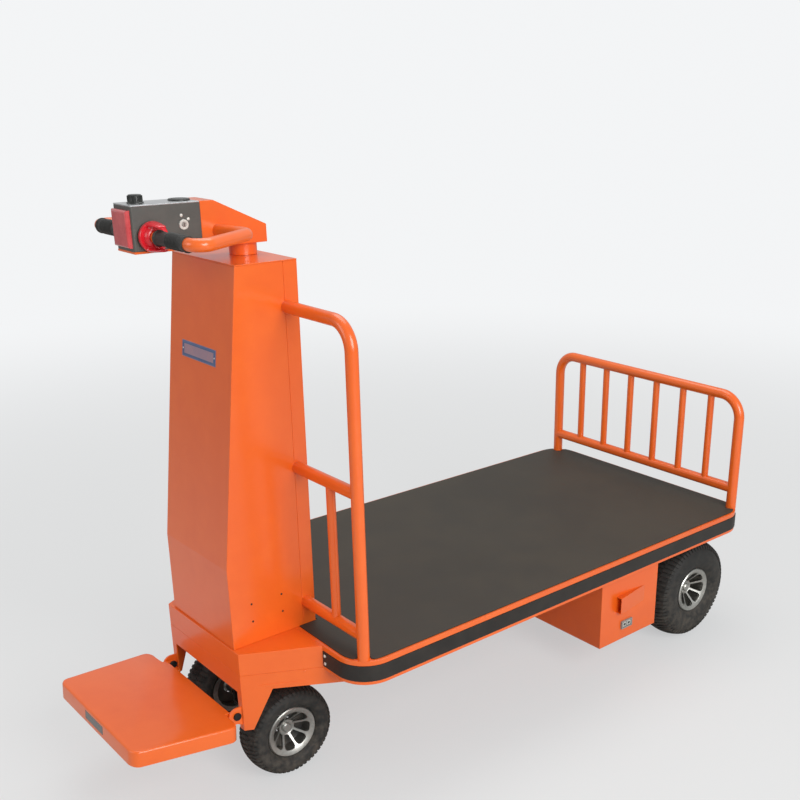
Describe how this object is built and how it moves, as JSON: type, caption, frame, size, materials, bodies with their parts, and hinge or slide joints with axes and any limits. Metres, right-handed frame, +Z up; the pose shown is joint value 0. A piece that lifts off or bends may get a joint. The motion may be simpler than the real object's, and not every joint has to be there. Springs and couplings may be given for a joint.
{
  "type": "electric platform cart",
  "caption": "Stand-on electric platform cart: flat rubber-topped deck with end guard, front column with steering head and side rails, folding operator step, pneumatic wheels.",
  "frame": {"origin": "on the floor, at the middle of the cart's footprint", "axes": "+X from the operator's step to the rear guard, +Z up; the side with the charging socket is -Y"},
  "size_m": [2.0202, 0.854, 1.455],
  "materials": {
    "orange_paint": "gloss orange enamel",
    "underbody": "black chassis paint",
    "mat": "dark brown-grey rubber sheet",
    "bumper": "black rubber strip",
    "tyre": "black rubber tyre",
    "rim": "polished cast aluminium",
    "steel": "machined steel",
    "head_plastic": "dark grey moulded plastic",
    "black_plastic": "black moulded plastic",
    "grip_rubber": "ribbed black rubber",
    "red_plastic": "gloss red plastic",
    "head_panel": "satin silver panel",
    "plate": "blank nameplate",
    "fastener": "zinc plated screws and bolts",
    "lamp": "grey insert"
  },
  "bodies": {
    "chassis": {"deck_pan": "orange_paint", "deck_rails": "underbody", "deck_crossbars": "underbody", "deck_mat": "mat", "edge_bumper": "bumper", "base_shell": "orange_paint", "base_cap": "orange_paint", "bearing_plate": "underbody", "column_cover": "orange_paint", "column_channel": "orange_paint", "column_lid": "orange_paint", "front_rail_right": "orange_paint", "front_rail_left": "orange_paint", "rear_guard": "orange_paint", "battery_box": "orange_paint", "battery_pack": "black_plastic", "vent_hood": "orange_paint", "charge_socket": "black_plastic", "front_beam": "underbody", "axle_pedestal": "underbody", "rear_axle": "underbody", "drive_motor": "underbody", "axle_hangers": "underbody", "step_pins": "steel"},
    "steering": {"steering_shaft": "orange_paint", "tiller_bracket": "orange_paint", "head_box": "head_plastic", "head_panel": "head_panel", "belly_switch": "red_plastic", "head_controls": "black_plastic", "handle_bars": "orange_paint", "grips": "grip_rubber", "throttles": "red_plastic"},
    "drag_link": {"drag_link": "steel"},
    "tie_rod": {"tie_rod": "steel"},
    "step": {"step_plate": "orange_paint", "step_lamp": "lamp"},
    "knuckle_right": {"knuckle_right": "steel"},
    "front_wheel_right": {"front_rim_right": "rim", "front_tyre_right": "tyre"},
    "rear_wheel_right": {"rear_rim_right": "rim", "rear_tyre_right": "tyre"},
    "knuckle_left": {"knuckle_left": "steel"},
    "front_wheel_left": {"front_rim_left": "rim", "front_tyre_left": "tyre"},
    "rear_wheel_left": {"rear_rim_left": "rim", "rear_tyre_left": "tyre"}
  },
  "joints": [
    {"name": "steer", "type": "hinge", "parent": "chassis", "child": "steering", "pos_m": [-0.51191, 0, 1.308], "axis": [0, 0, 1], "range_deg": [-35, 35]},
    {"name": "kingpin_right", "type": "hinge", "parent": "chassis", "child": "knuckle_right", "pos_m": [-0.57391, -0.07, 0.121], "axis": [0, 0, 1], "range_deg": [-35, 35]},
    {"name": "kingpin_left", "type": "hinge", "parent": "chassis", "child": "knuckle_left", "pos_m": [-0.57391, 0.07, 0.121], "axis": [0, 0, 1], "range_deg": [-35, 35]},
    {"name": "drag_link_pivot", "type": "hinge", "parent": "steering", "child": "drag_link", "pos_m": [-0.45191, 0, 0.1545], "axis": [0, 0, 1], "range_deg": [-35, 35]},
    {"name": "tie_rod_pivot", "type": "hinge", "parent": "knuckle_right", "child": "tie_rod", "pos_m": [-0.51391, -0.07, 0.1425], "axis": [0, 0, 1], "range_deg": [-35, 35]},
    {"name": "front_wheel_right_spin", "type": "hinge", "parent": "knuckle_right", "child": "front_wheel_right", "pos_m": [-0.57391, -0.144, 0.121], "axis": [0, 1, 0], "continuous": true},
    {"name": "rear_wheel_right_spin", "type": "hinge", "parent": "chassis", "child": "rear_wheel_right", "pos_m": [0.79709, -0.3455, 0.162], "axis": [0, 1, 0], "continuous": true},
    {"name": "front_wheel_left_spin", "type": "hinge", "parent": "knuckle_left", "child": "front_wheel_left", "pos_m": [-0.57391, 0.144, 0.121], "axis": [0, 1, 0], "continuous": true},
    {"name": "rear_wheel_left_spin", "type": "hinge", "parent": "chassis", "child": "rear_wheel_left", "pos_m": [0.79709, 0.3455, 0.162], "axis": [0, 1, 0], "continuous": true},
    {"name": "step_fold", "type": "hinge", "parent": "chassis", "child": "step", "pos_m": [-0.72391, 0, 0.23], "axis": [0, 1, 0], "range_deg": [0, 80]}
  ],
  "couplings": [
    {"joint": "kingpin_right", "follows": "steer", "ratio": 1},
    {"joint": "kingpin_left", "follows": "steer", "ratio": 1},
    {"joint": "drag_link_pivot", "follows": "steer", "ratio": -1},
    {"joint": "tie_rod_pivot", "follows": "steer", "ratio": -1}
  ]
}
